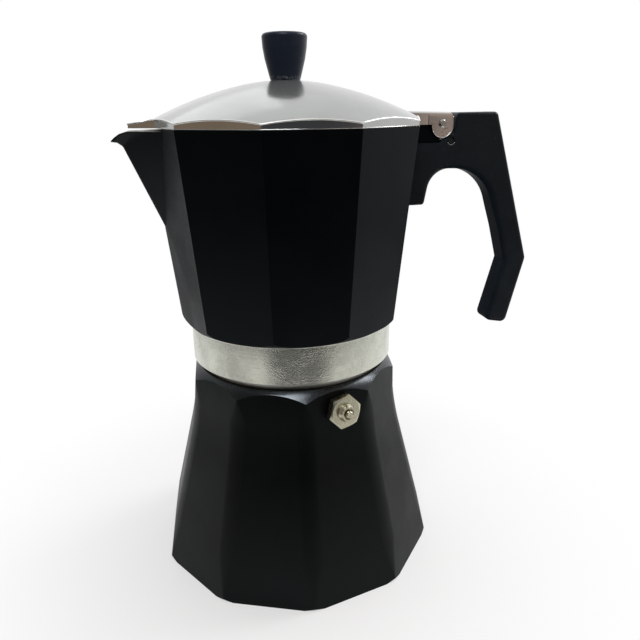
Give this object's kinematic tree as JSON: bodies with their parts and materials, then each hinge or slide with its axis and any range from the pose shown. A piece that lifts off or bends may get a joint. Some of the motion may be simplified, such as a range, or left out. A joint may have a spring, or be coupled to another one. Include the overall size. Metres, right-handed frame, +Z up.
{
  "type": "moka pot",
  "caption": "Faceted stove-top coffee maker: flared boiler, screw-on jug with spout, hinged domed lid with knob, angular side handle and spring-loaded safety valve.",
  "frame": {"origin": "centre of the boiler's underside, where the pot stands on the stove", "axes": "+Z up, +X towards the handle, -X towards the spout"},
  "size_m": [0.1977, 0.139, 0.2468],
  "materials": {
    "black_paint": "satin black paint over cast aluminium; the collar is left bare",
    "boiler_paint": "satin black paint, glossier on the shoulder",
    "bakelite": "satin black bakelite with fine marks",
    "polished_sheet": "satin dome with a bright polished skirt",
    "plain_sheet": "plain sheet",
    "cast_bare": "bare casting",
    "nickel": "nickel-plated brass",
    "steel": "plain steel",
    "fibre": "flat sealing fibre",
    "silicone": "off-white silicone",
    "dark_rubber": "dark rubber",
    "insert_brass": "turned brass"
  },
  "bodies": {
    "base": {"boiler": "boiler_paint", "valve_body": "nickel", "valve_washer": "fibre", "valve_bush": "nickel", "valve_spring": "steel"},
    "plunger": {"valve_plunger": "nickel", "valve_seal": "dark_rubber"},
    "funnel": {"funnel": "plain_sheet", "funnel_strainer": "plain_sheet"},
    "seal": {"gasket": "silicone", "filter_plate": "plain_sheet"},
    "jug": {"upper_chamber": "black_paint", "riser": "cast_bare", "handle": "bakelite", "handle_pin": "steel", "hinge_pin": "steel"},
    "lid": {"lid": "polished_sheet", "knob": "bakelite", "knob_insert": "insert_brass", "knob_screw": "steel", "knob_washer": "steel"}
  },
  "joints": [
    {"name": "funnel_lift", "type": "slide", "parent": "base", "child": "funnel", "axis": [0, 0, 1], "range_m": [0, 0.12]},
    {"name": "thread_rise", "type": "slide", "parent": "funnel", "child": "seal", "axis": [0, 0, 1], "range_m": [0, 0.0076]},
    {"name": "unscrew", "type": "hinge", "parent": "seal", "child": "jug", "pos_m": [0, 0, 0], "axis": [0, 0, 1], "range_deg": [0, 900]},
    {"name": "lid_hinge", "type": "hinge", "parent": "jug", "child": "lid", "pos_m": [0.0719, 0, 0.2083], "axis": [0, 1, 0], "range_deg": [0, 110]},
    {"name": "valve_pop", "type": "slide", "parent": "base", "child": "plunger", "axis": [0.2509, -0.9633, 0.095], "range_m": [0, 0.0015], "stiffness_N_per_m": 1500, "springref_m": -0.0018, "deforming": ["valve_spring"]}
  ],
  "couplings": [
    {"joint": "thread_rise", "follows": "unscrew", "m_per_rad": 0.00047746}
  ]
}
